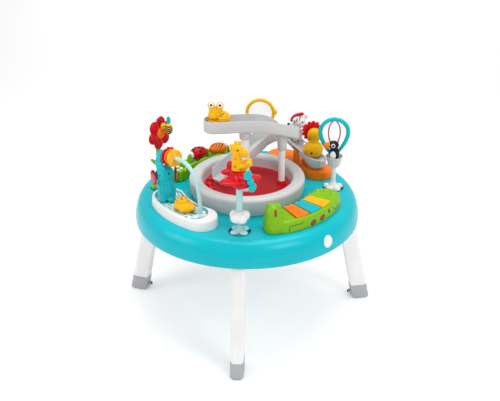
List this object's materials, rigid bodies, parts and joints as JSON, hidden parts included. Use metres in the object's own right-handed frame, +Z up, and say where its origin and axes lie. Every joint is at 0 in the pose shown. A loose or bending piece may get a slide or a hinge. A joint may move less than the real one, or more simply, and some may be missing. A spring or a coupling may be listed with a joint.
{
  "type": "baby activity table",
  "caption": "Round activity table on three splayed legs, with a spinning bowl, a spiral slide track and rim toys that spin, rock, slide and press.",
  "frame": {"origin": "on the floor, in the middle of the footprint", "axes": "+Z up, front leg towards -Y, +X to the right of someone facing the front leg; the turntable axis is vertical at y = 0.033"},
  "size_m": [0.8346, 0.7854, 0.7638],
  "materials": {
    "turquoise": "glossy moulded turquoise",
    "white": "satin moulded white",
    "light_grey": "satin moulded light grey",
    "foot_grey": "matte grey",
    "rubber": "matte",
    "red": "glossy red",
    "yellow": "glossy yellow",
    "orange": "glossy orange",
    "green": "glossy leaf green",
    "aqua": "translucent pale aqua",
    "clear": "clear moulded plastic window",
    "black": "satin black",
    "steel": "plain rod"
  },
  "bodies": {
    "table": {"tray_shell": "turquoise", "tray_underpan": "white", "leg_front": "white", "leg_left": "white", "leg_right": "white", "foot_front": "foot_grey", "foot_left": "foot_grey", "foot_right": "foot_grey", "pad_front": "rubber", "pad_left": "rubber", "pad_right": "rubber", "turntable_bearing": "white", "plane_stem": "aqua", "tub": "white", "water_deck": "turquoise", "elephant": "turquoise", "elephant_ear_left": "red", "elephant_ear_right": "red", "arch_stem": "aqua", "croc_body": "green", "sound_module": "black", "balloon_post": "white", "seesaw_base": "orange", "seesaw_pin": "steel", "flower_stem": "green", "bug_pod": "green"},
    "turntable": {"bowl_ring": "light_grey", "bowl_floor": "red", "post_left": "white", "post_right": "white", "track_upper": "light_grey", "track_lower": "light_grey", "turntable_retainer": "white"},
    "snail": {"snail": "yellow"},
    "plane": {"plane": "red", "giraffe": "yellow"},
    "propeller": {"propeller": "turquoise"},
    "cloud": {"cloud": "white"},
    "disc_yellow": {"disc_yellow": "yellow"},
    "disc_orange": {"disc_orange": "orange"},
    "disc_red": {"disc_red": "red"},
    "duck": {"duck": "yellow"},
    "key_orange": {"key_orange": "orange"},
    "key_turquoise": {"key_turquoise": "turquoise"},
    "key_yellow": {"key_yellow": "yellow"},
    "balloon": {"balloon_ring": "turquoise", "balloon_lens": "clear", "toucan": "black", "basket": "light_grey"},
    "seesaw": {"seesaw_seat": "light_grey", "lion": "yellow", "lion_mane": "red", "zebra": "white"},
    "mirror": {"mirror_ring": "yellow", "mirror_lens": "clear"},
    "flower": {"flower_head": "red", "bee": "yellow"},
    "ladybug": {"ladybug": "red"},
    "tiger_bug": {"tiger_bug": "orange"}
  },
  "joints": [
    {"name": "turntable_spin", "type": "hinge", "parent": "table", "child": "turntable", "pos_m": [0, 0.033, 0.45], "axis": [0, 0, 1], "continuous": true},
    {"name": "snail_slide", "type": "slide", "parent": "turntable", "child": "snail", "axis": [0.9772, 0.2124, 0], "range_m": [0, 0.08]},
    {"name": "plane_spin", "type": "hinge", "parent": "table", "child": "plane", "pos_m": [-0.001, -0.237, 0.6], "axis": [0, 0, 1], "continuous": true},
    {"name": "propeller_spin", "type": "hinge", "parent": "plane", "child": "propeller", "pos_m": [0.03202, -0.26075, 0.60746], "axis": [0.6597, -0.7514, 0.0137], "continuous": true},
    {"name": "cloud_spin", "type": "hinge", "parent": "table", "child": "cloud", "pos_m": [-0.001, -0.237, 0.478], "axis": [0, 0, 1], "continuous": true},
    {"name": "disc_yellow_spin", "type": "hinge", "parent": "table", "child": "disc_yellow", "pos_m": [-0.20832, -0.10868, 0.60444], "axis": [-0.701, 0.701, -0.1314], "continuous": true},
    {"name": "disc_orange_spin", "type": "hinge", "parent": "table", "child": "disc_orange", "pos_m": [-0.21984, -0.09716, 0.60228], "axis": [-0.701, 0.701, -0.1314], "continuous": true},
    {"name": "disc_red_spin", "type": "hinge", "parent": "table", "child": "disc_red", "pos_m": [-0.22752, -0.08948, 0.60084], "axis": [-0.701, 0.701, -0.1314], "continuous": true},
    {"name": "duck_swim", "type": "hinge", "parent": "table", "child": "duck", "pos_m": [0, 0.033, 0.469], "axis": [0, 0, 1], "range_deg": [-5, 2]},
    {"name": "key_orange_press", "type": "hinge", "parent": "table", "child": "key_orange", "pos_m": [0.14256, -0.14622, 0.4625], "axis": [0.7826, 0.6225, 0], "range_deg": [0, 4], "stiffness_Nm_per_rad": 0.3, "springref_deg": -17.19},
    {"name": "key_turquoise_press", "type": "hinge", "parent": "table", "child": "key_turquoise", "pos_m": [0.17151, -0.11874, 0.4625], "axis": [0.6626, 0.749, 0], "range_deg": [0, 4], "stiffness_Nm_per_rad": 0.3, "springref_deg": -17.19},
    {"name": "key_yellow_press", "type": "hinge", "parent": "table", "child": "key_yellow", "pos_m": [0.19526, -0.08665, 0.4625], "axis": [0.5225, 0.8526, 0], "range_deg": [0, 4], "stiffness_Nm_per_rad": 0.3, "springref_deg": -17.19},
    {"name": "balloon_spin", "type": "hinge", "parent": "table", "child": "balloon", "pos_m": [0.276, 0.079, 0.62], "axis": [0, 0, 1], "continuous": true},
    {"name": "seesaw_rock", "type": "hinge", "parent": "table", "child": "seesaw", "pos_m": [0.167, 0.206, 0.506], "axis": [0.6919, 0.722, 0], "range_deg": [-34, 0]},
    {"name": "mirror_swivel", "type": "hinge", "parent": "table", "child": "mirror", "pos_m": [0.022, 0.333, 0.585], "axis": [0, 0, 1], "range_deg": [-90, 90]},
    {"name": "flower_spin", "type": "hinge", "parent": "table", "child": "flower", "pos_m": [-0.277, 0.037, 0.624], "axis": [0.8659, -0.4977, 0.0498], "continuous": true},
    {"name": "ladybug_roll", "type": "hinge", "parent": "table", "child": "ladybug", "pos_m": [-0.17983, 0.20666, 0.483], "axis": [-0.6947, -0.7193, 0], "continuous": true},
    {"name": "tiger_bug_roll", "type": "hinge", "parent": "table", "child": "tiger_bug", "pos_m": [-0.11753, 0.25591, 0.48], "axis": [-0.8846, -0.4664, 0], "continuous": true}
  ]
}
